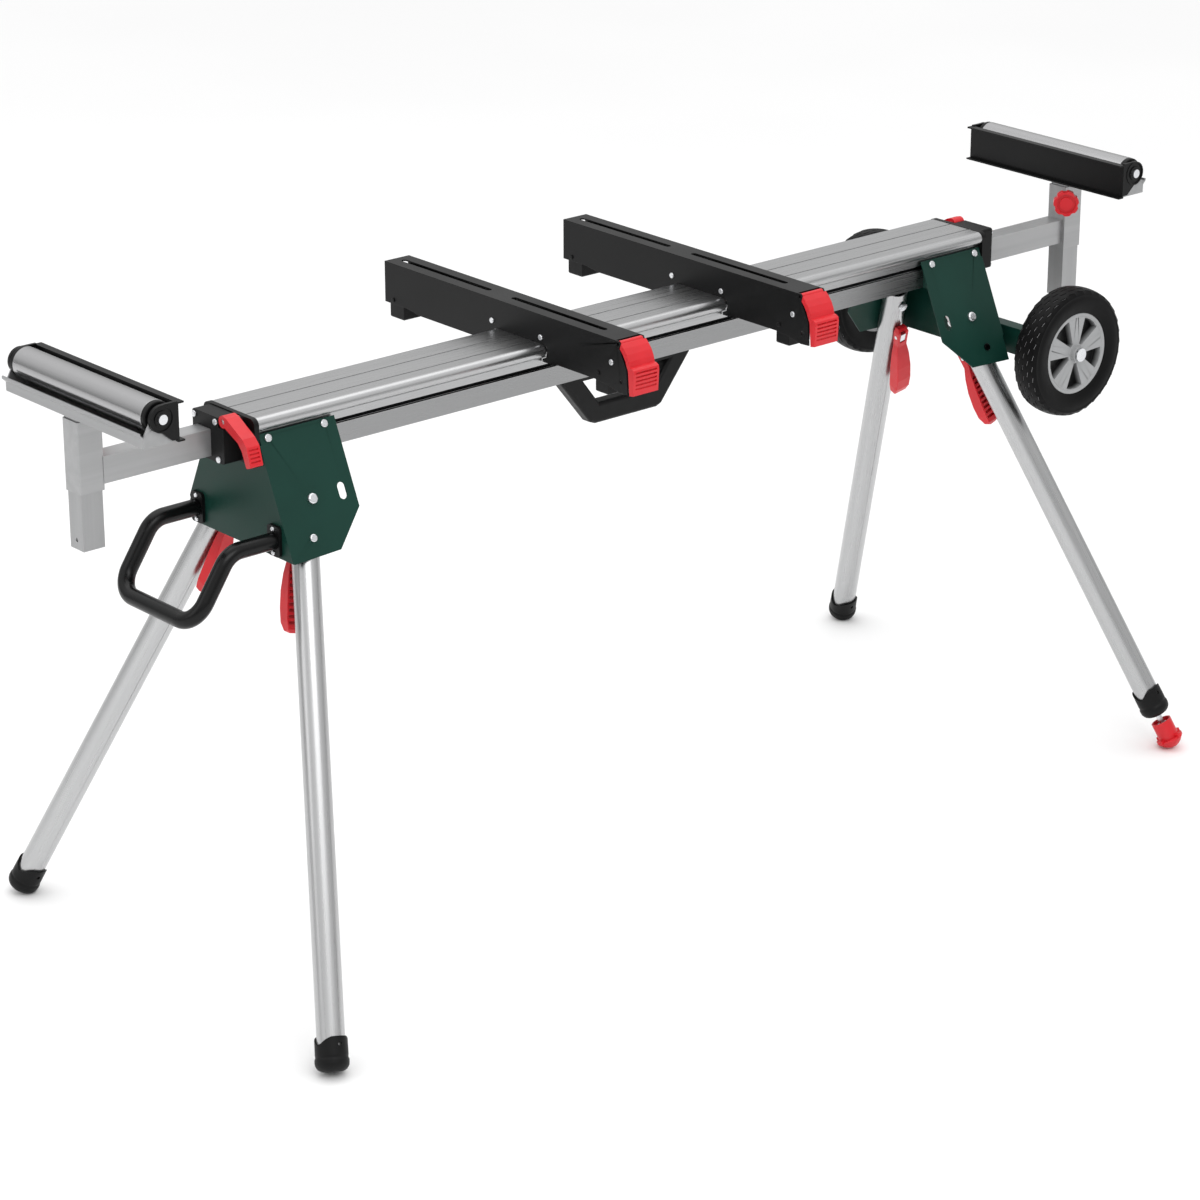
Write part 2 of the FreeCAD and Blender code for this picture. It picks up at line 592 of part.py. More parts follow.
def make_post(end, turn):
    body = new_body("Post")
    ring = new_sketch(body, "XY_Plane", "post_low")
    for inset in ("arm_wall + post_gap", "arm_wall * 2 + post_gap"):
        add_rectangle(ring, f"sleeve_x + {inset}", f"sleeve_x + sleeve_long - ({inset})",
                      f"sleeve_y - sleeve_wide / 2 + {inset}", f"sleeve_y + sleeve_wide / 2 - ({inset})")
    pad(body, ring, "tray_z - post_low")
    stop_hole = new_sketch(body, "YZ_Plane", "sleeve_x + sleeve_long + 1")
    add_circle(stop_hole, "sleeve_y", "post_low + 14", 3)
    pocket(body, stop_hole, 8)
    keep(body, end + "_post", turn)


def make_roller_bracket(end, turn):
    """The sheet tray on top of the post, its lip, and the two ears that hold the roller's axle."""
    body = new_body("RollerBracket")
    tray = new_sketch(body, "XZ_Plane", "-ear_y - 2.5")
    add_polygon(tray, [
        ("tray_inner", "tray_z"), ("tray_outer", "tray_z"), ("tray_outer", "tray_z + 13"),
        ("tray_outer + 6", "lip_top - 4"), ("tray_outer + 6", "lip_top"), ("tray_outer + 3.5", "lip_top"),
        ("tray_outer + 3.5", "lip_top - 3"), ("tray_outer - tray_sheet", "tray_z + 14"),
        ("tray_outer - tray_sheet", "tray_z + tray_sheet"), ("tray_inner", "tray_z + tray_sheet"),
    ])
    pad(body, tray, "(ear_y + 2.5) * 2")
    for level, backwards in (("ear_y", True), ("-ear_y", False)):
        ear = new_sketch(body, "XZ_Plane", level)
        add_polygon(ear, [
            ("tray_inner + 1", "tray_z"), ("tray_outer", "tray_z"), ("tray_outer", "tray_z + 14"),
            ("roller_x + 15", "roller_z"), ("roller_x + 9", "roller_z + 12"),
            ("roller_x - 9", "roller_z + 12"),
            ("roller_x - 15", "roller_z"), ("tray_inner + 1", "tray_z + 14"),
        ])
        pad(body, ear, "tray_sheet", backwards=not backwards)
    bore = new_sketch(body, "XZ_Plane")
    add_circle(bore, "roller_x", "roller_z", "roller_axle")
    pocket(body, bore, "ear_y * 2 + 20", both_ways=True)
    keep(body, end + "_roller_bracket", turn)


def make_fence(end, turn):
    """The channel-shaped guard behind the roller, with a plate round each end of the axle."""
    body = new_body("Fence")
    section = new_sketch(body, "XZ_Plane", "-head_half - 5")
    add_polygon(section, [
        ("tray_inner", "fence_low"), ("tray_inner", "fence_top"),
        ("tray_inner - 2.5 - fence_lip", "fence_top"),
        ("tray_inner - 2.5 - fence_lip", "fence_top - 2.5"), ("tray_inner - 2.5", "fence_top - 2.5"),
        ("tray_inner - 2.5", "fence_low + 2.5"), ("tray_inner - 2.5 - fence_lip", "fence_low + 2.5"),
        ("tray_inner - 2.5 - fence_lip", "fence_low"),
    ])
    pad(body, section, "(head_half + 5) * 2")
    for level, backwards in (("head_half + 0.3", False), ("-head_half - 0.3", True)):
        cheek = new_sketch(body, "XZ_Plane", level)
        add_polygon(cheek, [
            ("tray_inner - 1", "fence_low + 4"), ("tray_inner + 9", "fence_low + 4"),
            ("roller_x", "roller_z - cheek"),
            ("roller_x", "roller_z + cheek"), ("tray_inner - 1", "roller_z + cheek"),
        ])
        pad(body, cheek, 4.7, backwards=backwards)
        disc = new_sketch(body, "XZ_Plane", level)
        add_circle(disc, "roller_x", "roller_z", "cheek")
        pad(body, disc, 5.7, backwards=backwards)
        ring = new_sketch(body, "XZ_Plane", f"({level}) - 7" if backwards else f"({level}) + 7")
        add_circle(ring, "roller_x", "roller_z", "cheek - 2.5")
        add_circle(ring, "roller_x", "roller_z", "cheek - 8")
        pocket(body, ring, 2.8, backwards=backwards)
    bore = new_sketch(body, "XZ_Plane")
    add_circle(bore, "roller_x", "roller_z", "roller_axle")
    pocket(body, bore, "ear_y * 2 + 40", both_ways=True)
    keep(body, end + "_fence", turn)


def make_roller(end, turn):
    start = ("roller_x", "-roller_half", "roller_z")
    shell = cut(rod("roller_radius", "roller_half * 2", start, (0, 1, 0)),
                rod("roller_radius - 2", "roller_half * 2", start, (0, 1, 0)))
    keep(shell, end + "_roller", turn)
    along = FreeCAD.Vector(0, 1, 0)
    caps = []
    for way in (-1, 1):
        face = vector("roller_x", f"{way} * roller_half", "roller_z")
        rim = Part.makeCylinder(size("roller_radius - 0.4"), 8, face, along * way)
        rim = rim.makeFillet(2, [edge for edge in rim.Edges if (edge.CenterOfMass - face).Length > 7])
        plug = Part.makeCylinder(size("roller_radius - 2"), 14, face, along * -way)
        bore = Part.makeCylinder(size("roller_axle + running_fit"), 40, face - along * 20 * way, along * way)
        caps.append(rim.fuse(plug).cut(bore).removeSplitter())
    group(end + "_roller_end_caps", caps, turn)
    axle = rod("roller_axle", "(head_half + 9) * 2", ("roller_x", "-head_half - 9", "roller_z"), (0, 1, 0))
    heads = [rod("roller_axle + 2", 3, ("roller_x", y, "roller_z"), (0, way, 0))
             for y, way in (("head_half + 6", 1), ("-head_half - 6", -1))]
    keep(fuse(axle, *heads), end + "_roller_axle", turn)


# ---------------------------------------------------------------- saw brackets

def make_saw_bracket(name, left):
    """An inverted channel across the beam, slotted for the saw's bolts, with a lever at its front end."""
    body = new_body("SawChannel")
    side = new_sketch(body, "YZ_Plane", left)
    seat = [(54, 834), (61.5, 831), (62, 823.5), (60.5, 815.5), (52, 811.5), (52, 807), (81, 807)]
    add_polygon(side, [
        ("saw_rear", "saw_top"), ("latch_y - 2", "saw_top"), ("latch_y - 5", "latch_z"),
        ("latch_y - 2.5", "latch_z - 5"),
        ("-237", "845"), ("-240.5", "838"), ("-243", "802"), ("-226", "801"), ("-200", "saw_low - 3"),
        ("-171", "saw_low"), ("-84", "saw_low"),
    ] + [(f"-{y}", str(z)) for y, z in reversed(seat)] + [(str(y), str(z)) for y, z in seat] + [
        ("84", "saw_low"), ("241", "saw_low"), ("270", "saw_low + 4.5"), ("saw_rear", "saw_low + 4.5"),
    ])
    pad(body, side, "saw_width")
    inside = new_sketch(body, "XZ_Plane")
    walls = (f"{left} + saw_sheet", f"{left} + saw_width - saw_sheet")
    add_rectangle(inside, *walls, 780, "saw_top - saw_sheet")
    pocket(body, inside, 800, both_ways=True)
    mouth = new_sketch(body, "XY_Plane", "saw_top + 1")
    add_rectangle(mouth, *walls, "latch_y - 12", "latch_y + 6")
    pocket(body, mouth, 12)
    slots = new_sketch(body, "XY_Plane", "saw_top + 1")
    centre = f"{left} + saw_width / 2"
    for low, high in (("slot_b", "slot_a"), ("slot_d", "slot_c")):
        add_rectangle(slots, centre + " - slot_wide / 2", centre + " + slot_wide / 2",
                      low + " + slot_wide / 2", high + " - slot_wide / 2")
    pocket(body, slots, 5)
    slot_ends = new_sketch(body, "XY_Plane", "saw_top + 1")
    for middle in ("slot_b + slot_wide / 2", "slot_a - slot_wide / 2", "slot_d + slot_wide / 2",
                   "slot_c - slot_wide / 2"):
        add_circle(slot_ends, f"{left} + saw_width / 2", middle, "slot_wide / 2")
    pocket(body, slot_ends, 5)
    bores = new_sketch(body, "YZ_Plane")
    add_circle(bores, "latch_y", "latch_z", "latch_pin")
    add_circle(bores, -229, 819, 3)
    pocket(body, bores, 900, both_ways=True)
    keep(body, name + "_channel")
    feet = []
    for rear, front, low in ((316, 283, 791), (-170, -198, 790)):
        foot = Part.makeBox(size("saw_width - saw_sheet * 2"), rear - front, 870 - low,
                            vector(f"{left} + saw_sheet", front, low))
        lower = [edge for edge in foot.Edges if abs(edge.CenterOfMass.z - low) < 0.1]
        feet.append(foot.makeFillet(3, lower))
        for x, way in ((left, -1), (f"{left} + saw_width", 1)):
            feet.append(screw(vector(x, (rear + front) / 2 + 6, "saw_low + 11"), (way, 0, 0), 3.6, 2))
    group(name + "_foot_blocks", feet)
    make_saw_lever(name, left)
    fixings = [Part.makeCylinder(size("latch_pin"), size("saw_width - 1.6"),
                                 vector(f"{left} + 0.8", "latch_y", "latch_z"), FreeCAD.Vector(1, 0, 0))]
    for y, z in ((64.6, 844), (-48.5, 844), (-208, 844)):
        for x, way in ((left, -1), (f"{left} + saw_width", 1)):
            fixings.append(screw(vector(x, y, z), (way, 0, 0), 4.5, 2.5))
    group(name + "_screws", fixings)


def make_saw_lever(name, left):
    """The red lever over the bracket's front end."""
    body = new_body("SawLever")
    grip = new_sketch(body, "YZ_Plane", left)
    add_polygon(grip, [
        ("latch_y - 6.6", "latch_z + 1.6"), ("-234.5", "870"), ("-241", "862"), ("-245.5", "853"),
        ("-247.5", "845"), ("-252.5", "844"), ("-256.5", "841.5"), ("-257.5", "836"), ("-256.8", "822"),
        ("-255.5", "803"), ("-247", "801.5"), ("-243.8", "838.5"), ("-241", "844"), ("-237.5", "852.5"),
        ("-232.5", "860.5"),
        ("latch_y - 4.3", "latch_z - 6.2"),
    ])
    pad(body, grip, "saw_width")
    for number in range(5):
        drop = 812 + 6 * number
        groove = new_sketch(body, "YZ_Plane", f"{left} + 4")
        add_rectangle(groove, -260, -254.6, drop, drop + 2.6)
        pocket(body, groove, "saw_width - 8", backwards=True)
    link = new_sketch(body, "YZ_Plane", f"{left} + saw_sheet + 0.5")
    add_polygon(link, [
        ("latch_y", "latch_z + latch_knuckle - 0.6"), ("latch_y - 8", "latch_z - 1"),
        ("latch_y - 4.6", "latch_z - 6.5"),
        ("latch_y", "latch_z - latch_knuckle + 0.6"),
    ])
    pad(body, link, "saw_width - saw_sheet * 2 - 1")
    knuckle = new_sketch(body, "YZ_Plane", f"{left} + saw_sheet + 0.5")
    add_circle(knuckle, "latch_y", "latch_z", "latch_knuckle - 0.4")
    pad(body, knuckle, "saw_width - saw_sheet * 2 - 1")
    bore = new_sketch(body, "YZ_Plane", left)
    add_circle(bore, "latch_y", "latch_z", "latch_pin + running_fit")
    pocket(body, bore, "saw_width", backwards=True)
    keep(body, name + "_lever")


# ---------------------------------------------------------------- handles, axle and wheels

def bent_path(points, radius):
    """A wire through the points, with an arc of the given radius at every inner point."""
    edges = []
    start = points[0]
    for before, corner, after in zip(points, points[1:], points[2:]):
        back = (before - corner).normalize()
        on = (after - corner).normalize()
        half = back.getAngle(on) / 2
        reach = radius / math.tan(half)
        entry = corner + back * reach
        leave = corner + on * reach
        middle = corner + (back + on).normalize() * (radius / math.sin(half) - radius)
        edges.append(Part.makeLine(start, entry))
        edges.append(Part.Arc(entry, middle, leave).toShape())
        start = leave
    edges.append(Part.makeLine(start, points[-1]))
    return Part.Wire(edges)


def make_pull_handle():
    wall_x = "-beam_length / 2"
    near = [(wall_x, "-pull_y", "pull_z"), ("pull_bend_x", "-pull_y", "pull_z"),
            ("pull_end_x", "-pull_y", "pull_low")]
    far = [(x, "pull_y", z) for x, _, z in reversed(near)]
    path = bent_path([vector(*point) for point in near + far], size("pull_corner"))
    pipes = []
    for radius in ("pull_radius", "pull_radius - 2"):
        ring = Part.Wire(Part.makeCircle(size(radius), vector(*near[0]), FreeCAD.Vector(1, 0, 0)))
        pipes.append(path.makePipeShell([ring], True, False))
    tube = doc.addObject("Part::Feature", "PullTube")
    tube.Shape = pipes[0].cut(pipes[1])
    keep(tube, "pull_handle")
    saddles = []
    for way in (-1, 1):
        corner = vector(wall_x + " - saddle", f"{way} * pull_y - saddle_wide / 2",
                        "pull_z - saddle_tall / 2")
        plate = Part.makeBox(size("saddle"), size("saddle_wide"), size("saddle_tall"), corner)
        upright = [edge for edge in plate.Edges if edge.BoundBox.XLength > size("saddle") - 0.1]
        start = vector(wall_x + " - 20", f"{way} * pull_y", "pull_z")
        bore = Part.makeCylinder(size("pull_radius"), 40, start, FreeCAD.Vector(1, 0, 0))
        saddle = plate.makeFillet(6, upright)
        saddles.append(saddle.cut(bore))
    group("pull_handle_clamps", saddles)


def make_carry_handle():
    body = new_body("CarryHandle")
    outline = new_sketch(body, "XZ_Plane")
    half = [(130, "beam_bottom"), (130, "745"), (72, "carry_low + 4"), (62, "carry_low")]
    add_polygon(outline, [(str(x), z) for x, z in half] + [(f"-{x}", z) for x, z in reversed(half)])
    add_polygon(outline, [("85", "741"), ("55", "702"), ("-55", "702"), ("-85", "741")])
    pad(body, outline, "carry_thick", both_ways=True)
    round_edges(body, 6, lambda edge: abs(abs(edge.CenterOfMass.y) - size("carry_thick / 2")) < 0.1
                and edge.CenterOfMass.z < size("beam_bottom - 5"))
    keep(body, "carry_handle")


def make_axle_bracket():
    """A hollow cross beam for the axle, carried on two arms from the right housing."""
    outer = block(("axle_x - 12", "axle_x + 13"), ("-bracket_half", "bracket_half"), ("plate_foot - 1", 682))
    inner = block(("axle_x - 9.5", "axle_x + 10.5"), ("-bracket_half + 2.5", "bracket_half - 2.5"),
                  ("plate_foot + 1.5", 679.5))
    bore = rod("axle_radius", "bracket_half * 2 + 10", ("axle_x", "-bracket_half - 5", "axle_z"), (0, 1, 0))
    arms = [block(("beam_length / 2", "axle_x - 11"), (low, high), (640, 680))
            for low, high in ((-88, -82), (82, 88))]
    keep(fuse(cut(outer, inner, bore), *arms), "axle_bracket")
    axle = rod("axle_radius", "(wheel_y + 31) * 2", ("axle_x", "-wheel_y - 31", "axle_z"), (0, 1, 0))
    caps = [rod("hub_radius - 2", 3, ("axle_x", y, "axle_z"), (0, way, 0))
            for y, way in (("wheel_y + 28", 1), ("-wheel_y - 28", -1))]
    keep(fuse(axle, *caps), "wheel_axle")


def make_wheel(name, y):
    spin = FreeCAD.Rotation(FreeCAD.Vector(0, 0, 1), FreeCAD.Vector(0, 1, 0))
    placement = FreeCAD.Placement(vector("axle_x", y, "axle_z"), spin)
    tyre = new_body("Tyre")
    profile = new_sketch(tyre, "XZ_Plane")
    half = [("rim_radius", "tyre_width / 2 - 5"), ("rim_radius + 12", "tyre_width / 2"),
            ("tyre_radius - 12", "tyre_width / 2"), ("tyre_radius - 4", "tyre_width / 2 - 4"),
            ("tyre_radius", "tyre_width / 2 - 11")]
    add_polygon(profile, half + [(x, f"-({z})") for x, z in reversed(half)])
    revolve(tyre, profile, "Z_Axis")
    keep(tyre, name + "_tyre", placement)
    rim = new_body("Rim")
    profile = new_sketch(rim, "XZ_Plane")
    half = [("axle_radius + running_fit", "tyre_width / 2 + 2"), ("hub_radius", "tyre_width / 2 + 2"),
            ("hub_radius + 1", "rim_face"), ("rim_radius - 6", "rim_face"),
            ("rim_radius - 5", "tyre_width / 2 - 5"),
            ("rim_radius", "tyre_width / 2 - 5")]
    add_polygon(profile, half + [(x, f"-({z})") for x, z in reversed(half)])
    revolve(rim, profile, "Z_Axis")
    for level, backwards in (("rim_face + 1", False), ("-rim_face - 1", True)):
        windows = new_sketch(rim, "XY_Plane", level)
        for number in range(5):
            middle = 72 * number + 90
            corners = [(17, -10), (17, 10), (59, 17.5), (60, 6), (60, -6), (59, -17.5)]
            add_polygon(windows, [(f"{radius} * cos({middle + turn})", f"{radius} * sin({middle + turn})")
                                  for radius, turn in corners])
        pocket(rim, windows, "rim_face - 3", backwards=backwards)
    keep(rim, name + "_rim", placement)


# ---------------------------------------------------------------- screws and bolts

def make_fixings():
    """All the frame's screws, and the bolts that the legs and the clamp levers turn on."""
    screws = []
    bolts = []
    for end, turn in ENDS.items():
        for front in (True, False):
            out = FreeCAD.Vector(0, -1 if front else 1, 0)
            frame = turn * slope_frame(front)
            heads = [("screw_outer", "screw_drop"), ("screw_inner", "screw_drop"), ("lock_x", "lock_drop")]
            for x, drop in heads:
                rivet = screw(vector(x, 0, "-" + drop), out, 6, 3, size("screw_hole"), size("sheet"))
                screws.append(rivet.transformed(frame.toMatrix()))
            bolt = screw(vector("pivot_x", 0, "-pivot_drop"), out, 8, 5, size("pivot_bolt"), 50)
            nut = Part.makeCylinder(7, 4, vector("pivot_x", 0, "-pivot_drop") - out * 45, -out)
            bolts.append(bolt.fuse(nut).removeSplitter().transformed(frame.toMatrix()))
        block_face = "beam_length / 2 + block_depth"
        for y, z in (("block_front + 5", "block_top - 7.5"), ("block_front + 5", "block_low + 5"),
                     ("block_rear - 18.5", "block_top - 7.5"), ("block_rear - 13", "block_low + 5")):
            head = screw(vector(block_face, y, z), (1, 0, 0), 4.8, 2.6)
            screws.append(head.transformed(turn.toMatrix()))
        inner = vector("beam_length / 2 + 3", "cam_y", "cam_z")
        reach = size("block_depth - 5")
        cam_bolt = Part.makeCylinder(size("cam_bolt"), reach, inner, FreeCAD.Vector(1, 0, 0))
        screws.append(cam_bolt.transformed(turn.toMatrix()))
    for way in (-1, 1):
        for z in ("pull_z + 18", "pull_z - 18"):
            face = vector("-beam_length / 2 - saddle", f"{way} * pull_y", z)
            screws.append(screw(face, (-1, 0, 0), 3.6, 2.2))
    group("frame_screws", screws)
    group("leg_pivot_bolts", bolts)


make_beam()
for end, turn in ENDS.items():
    make_clamp_block(end, turn)
    make_cam_lever(end, turn)
    make_housing(end, turn)
    make_arm(end, turn)
    make_height_knob(end, turn)
    make_post(end, turn)
    make_roller_bracket(end, turn)
    make_fence(end, turn)
    make_roller(end, turn)
make_legs()
make_adjuster()
make_saw_bracket("left_bracket", "saw_left")
make_saw_bracket("right_bracket", "saw_right")
make_pull_handle()
make_carry_handle()
make_axle_bracket()
make_wheel("front_wheel", "-wheel_y")
make_wheel("rear_wheel", "wheel_y")
make_fixings()
doc.recompute()

for thing in doc.Objects:
    if any(word in thing.State for word in ("Invalid", "Error")):
        raise ValueError("not computed: " + thing.Name)
for thing in nodes:
    if thing.Shape.isNull() or not thing.Shape.isValid() or thing.Shape.Volume <= 0:
        raise ValueError("bad shape: " + thing.Label)

os.makedirs("parts", exist_ok=True)
for thing in nodes:
    thing.Shape.exportStep(f"parts/{thing.Label}.step")
print(len(nodes), "sub-parts written")
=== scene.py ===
import math

import bpy
from mathutils import Euler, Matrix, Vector


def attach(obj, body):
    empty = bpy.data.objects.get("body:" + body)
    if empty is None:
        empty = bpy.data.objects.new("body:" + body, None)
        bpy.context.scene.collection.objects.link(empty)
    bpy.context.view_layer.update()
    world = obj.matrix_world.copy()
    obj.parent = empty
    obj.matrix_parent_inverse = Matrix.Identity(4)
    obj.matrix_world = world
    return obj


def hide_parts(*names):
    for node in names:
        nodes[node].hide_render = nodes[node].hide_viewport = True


# Looks of the folding saw stand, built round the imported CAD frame. Metres, +X along the beam, +Z up.

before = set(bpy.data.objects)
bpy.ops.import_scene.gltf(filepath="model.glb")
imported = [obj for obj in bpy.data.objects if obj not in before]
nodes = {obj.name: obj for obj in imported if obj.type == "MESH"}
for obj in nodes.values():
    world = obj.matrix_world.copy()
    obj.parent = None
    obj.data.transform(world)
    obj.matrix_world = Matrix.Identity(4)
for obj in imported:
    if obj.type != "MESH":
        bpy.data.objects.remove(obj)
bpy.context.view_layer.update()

LIFT = 0.0087
WHEEL_Y = 0.224
KNOB_PLACE = (0.941, 0.0425)
HALF_ROOT = math.sqrt(0.5)


# ---------------------------------------------------------------- materials

class Shader:
    """A procedural material: a principled shader whose colour, roughness and bump come from noise."""

    def __init__(self, name, color, roughness, metallic=0.0, **constants):
        self.material = bpy.data.materials.new(name)
        self.material.use_nodes = True
        self.tree = self.material.node_tree
        self.principled = self.tree.nodes["Principled BSDF"]
        self.color = color
        self.roughness = roughness
        self.principled.inputs["Metallic"].default_value = metallic
        for socket, amount in constants.items():
            self.principled.inputs[socket.replace("_", " ")].default_value = amount
        self.coordinates = self.tree.nodes.new("ShaderNodeTexCoord").outputs["Object"]
        self.height = None

    def link(self, source, target):
        self.tree.links.new(source, target)

    def noise(self, scale, stretch=(1, 1, 1), turn=(0, 0, 0), detail=3.0):
        """Noise in the piece's own space, stretched along chosen axes, from 0 to 1."""
        mapping = self.tree.nodes.new("ShaderNodeMapping")
        if turn != (0, 0, 0):
            mapping.vector_type = "TEXTURE"
            mapping.inputs["Rotation"].default_value = turn
            mapping.inputs["Scale"].default_value = [1 / part for part in stretch]
        else:
            mapping.inputs["Scale"].default_value = stretch
        self.link(self.coordinates, mapping.inputs["Vector"])
        texture = self.tree.nodes.new("ShaderNodeTexNoise")
        texture.inputs["Scale"].default_value = scale
        texture.inputs["Detail"].default_value = detail
        self.link(mapping.outputs["Vector"], texture.inputs["Vector"])
        return texture.outputs[0]

    def ramp(self, source, low, high, dark, light):
        """A colour that goes from dark to light as the source goes from low to high."""
        node = self.tree.nodes.new("ShaderNodeMapRange")
        node.interpolation_type = "SMOOTHSTEP"
        node.inputs["From Min"].default_value = low
        node.inputs["From Max"].default_value = high
        self.link(source, node.inputs["Value"])
        mix = self.tree.nodes.new("ShaderNodeMix")
        mix.data_type = "RGBA"
        mix.inputs["A"].default_value = (*dark, 1)
        mix.inputs["B"].default_value = (*light, 1)
        self.link(node.outputs["Result"], mix.inputs["Factor"])
        return mix.outputs["Result"]

    def spread(self, source, low, high):
        """A number that goes from low to high with a noise."""
        node = self.tree.nodes.new("ShaderNodeMapRange")
        node.inputs["From Min"].default_value = 0.3
        node.inputs["From Max"].default_value = 0.7
        node.inputs["To Min"].default_value = low
        node.inputs["To Max"].default_value = high
        self.link(source, node.inputs["Value"])
        return node.outputs["Result"]

    def tint(self, source, change):
        """The base colour made a little darker and lighter by a noise."""
        dark = [part * (1 - change) for part in self.color]
        light = [min(1, part * (1 + change)) for part in self.color]
        self.link(self.ramp(source, 0.3, 0.7, dark, light), self.principled.inputs["Base Color"])

    def rough(self, source, change):
        self.link(self.spread(source, self.roughness - change, self.roughness + change),
                  self.principled.inputs["Roughness"])

    def math(self, operation, first, second=0.0):
        """One step of arithmetic between sockets or numbers."""
        node = self.tree.nodes.new("ShaderNodeMath")
        node.operation = operation
        for socket, amount in zip(node.inputs, (first, second)):
            if isinstance(amount, (int, float)):
                socket.default_value = amount
            else:
                self.link(amount, socket)
        return node.outputs[0]

    def place(self):
        """The X, Y and Z of the point, at rest, in the stand's frame."""
        node = self.tree.nodes.new("ShaderNodeSeparateXYZ")
        self.link(self.coordinates, node.inputs[0])
        return node.outputs

    def recolor(self, amount, low, high, color):
        """Goes over to another colour as the amount goes from low to high."""
        node = self.tree.nodes.new("ShaderNodeMapRange")
        node.inputs["From Min"].default_value = low
        node.inputs["From Max"].default_value = high
        self.link(amount, node.inputs["Value"])
        base = self.principled.inputs["Base Color"]
        mix = self.tree.nodes.new("ShaderNodeMix")
        mix.data_type = "RGBA"
        mix.inputs["B"].default_value = (*color, 1)
        self.link(base.links[0].from_socket, mix.inputs["A"])
        self.link(node.outputs["Result"], mix.inputs["Factor"])
        self.link(mix.outputs["Result"], base)

    def bump(self, source, distance, strength=1.0):
        node = self.tree.nodes.new("ShaderNodeBump")
        node.inputs["Distance"].default_value = distance
        node.inputs["Strength"].default_value = strength
        self.link(source, node.inputs["Height"])
        if self.height:
            self.link(self.height, node.inputs["Normal"])
        self.height = node.outputs["Normal"]
        self.link(self.height, self.principled.inputs["Normal"])


def streaked_metal(name, color, roughness, stretch, turn=(0, 0, 0), metallic=1.0, fine=900.0):
    """Drawn or ground metal: fine lines one way, with slow changes of tone over them."""
    shader = Shader(name, color, roughness, metallic)
    lines = shader.noise(fine, stretch, turn, detail=4)
    broad = shader.noise(fine / 12, stretch, turn, detail=2)
    shader.tint(broad, 0.045)
    shader.rough(lines, 0.05)
    shader.bump(lines, 0.00002, 0.35)
    return shader.material


def coated_metal(name, color, roughness, grain, depth, tone=0.08, shine=0.25):
    """Powder coat: an even colour with a fine orange-peel surface and slight wear in tone."""
    shader = Shader(name, color, roughness, Specular_IOR_Level=shine)
    peel = shader.noise(grain, detail=2)
    cloud = shader.noise(9, detail=3)
    shader.tint(cloud, tone)
    shader.rough(cloud, 0.04)
    shader.bump(peel, depth, 0.5)
    return shader.material


def moulded(name, color, roughness, grain=1500, depth=0.00003, tone=0.05, shine=0.25):
    """Moulded plastic or rubber: slight cloud in the colour, fine spark-eroded grain."""
    shader = Shader(name, color, roughness, Specular_IOR_Level=shine)
    cloud = shader.noise(22, detail=3)
    shader.tint(cloud, tone)
    shader.rough(shader.noise(60, detail=2), 0.05)
    shader.bump(shader.noise(grain, detail=2), depth, 0.5)
    return shader.material


ALONG_X = (0.012, 1, 1)
ALONG_Y = (1, 0.012, 1)
ALONG_Z = (1, 1, 0.012)

BLACK = (0.004, 0.0042, 0.0045)

green = coated_metal("green_coat", (0.0045, 0.036, 0.026), 0.40, 1400, 0.00004, shine=0.2)
black_coat = coated_metal("black_coat", (0.0030, 0.0031, 0.0033), 0.40, 1700, 0.00004, 0.12, 0.2)
black_tube = coated_metal("black_tube", (0.0020, 0.0021, 0.0023), 0.28, 1500, 0.00003, 0.10)
casting = coated_metal("black_casting", (0.0030, 0.0031, 0.0033), 0.44, 700, 0.00009, 0.15, 0.2)
grey_arm = streaked_metal("grey_arm", (0.40, 0.403, 0.407), 0.42, ALONG_X, metallic=0.7)
grey_post = streaked_metal("grey_post", (0.38, 0.383, 0.387), 0.42, ALONG_Z, metallic=0.7)
grey_tray = streaked_metal("grey_tray", (0.36, 0.363, 0.367), 0.42, ALONG_Y, metallic=0.7)
roller_metal = streaked_metal("roller_steel", (0.42, 0.42, 0.425), 0.20, ALONG_Y, fine=500)
zinc = streaked_metal("zinc", (0.72, 0.73, 0.75), 0.28, (1, 1, 1), fine=400)
RED = (0.62, 0.012, 0.020)
red = moulded("red_plastic", RED, 0.36, shine=0.4)
black_plastic = moulded("black_plastic", (0.0030, 0.0031, 0.0033), 0.42, 900, 0.00005, 0.12, 0.2)
rubber = moulded("rubber", (0.0030, 0.0031, 0.0033), 0.48, 700, 0.00006, 0.15, 0.2)
tyre_rubber = moulded("tyre_rubber", (0.0012, 0.0012, 0.0014), 0.45, 600, 0.00006, 0.15, 0.12)
# Painted highlight: the floors of the tread grooves are light grey, standing in for light catching the
# grooves.
groove_highlight = moulded("groove_highlight", (0.30, 0.30, 0.305), 0.6, 600, 0.00006, 0.15)


SLOT_LOW = 0.7953 + LIFT
SLOT_HIGH = 0.8012 + LIFT
SLOT_Y = 0.0470
RAIL_TOP = 0.7945 + LIFT
RAIL_Y = 0.0525
LOW_RIVET = (0.65, 0.69 + LIFT)
LEVER_PIN_Y = (-0.2138, -0.2142)
BOSS_END = (0.0160, 0.0155)
WINDOW_SHADE_DEPTHS = (0.017, 0.006)
LEG_RUN = (0.2627, 0.3967, -0.8796)


def wheel_plastic():
    """Light grey on the spokes; painted shade makes it near black down in the windows between them."""
    shader = Shader("rim_plastic", (0.33, 0.335, 0.34), 0.38)
    cloud = shader.noise(22)
    shader.tint(cloud, 0.03)
    shader.rough(cloud, 0.05)
    shader.bump(shader.noise(1100, detail=2), 0.00004, 0.5)
    across = shader.math("SUBTRACT", shader.math("ABSOLUTE", shader.place()[1]), WHEEL_Y)
    from_middle = shader.math("ABSOLUTE", across)
    # Painted shade: the windows go over to near black towards the rim's middle, deep in the pockets.
    shader.recolor(from_middle, *WINDOW_SHADE_DEPTHS, BLACK)
    return shader.material


